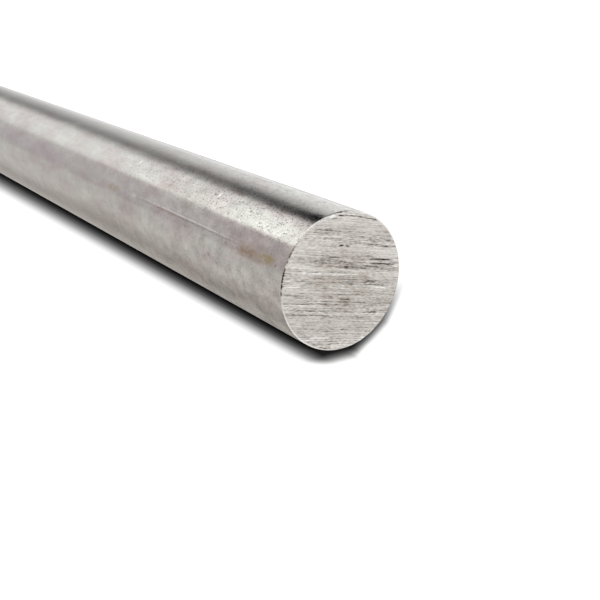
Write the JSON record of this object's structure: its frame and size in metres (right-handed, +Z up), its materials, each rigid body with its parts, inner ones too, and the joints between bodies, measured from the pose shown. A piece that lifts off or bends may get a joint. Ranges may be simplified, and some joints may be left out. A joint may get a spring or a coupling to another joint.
{
  "type": "round metal bar",
  "caption": "Solid round bar of mill-finished stainless steel, sawn square at both ends, for machining, welding or clamping into a frame.",
  "frame": {"origin": "on the floor, under the middle of the bar, which lies on its side", "axes": "+X along the bar's axis, towards the sawn end that the picture shows; +Z up"},
  "size_m": [0.3048, 0.0254, 0.0254],
  "materials": {
    "stainless_steel": "satin"
  },
  "bodies": {
    "root": {"round_bar": "stainless_steel"}
  },
  "joints": []
}
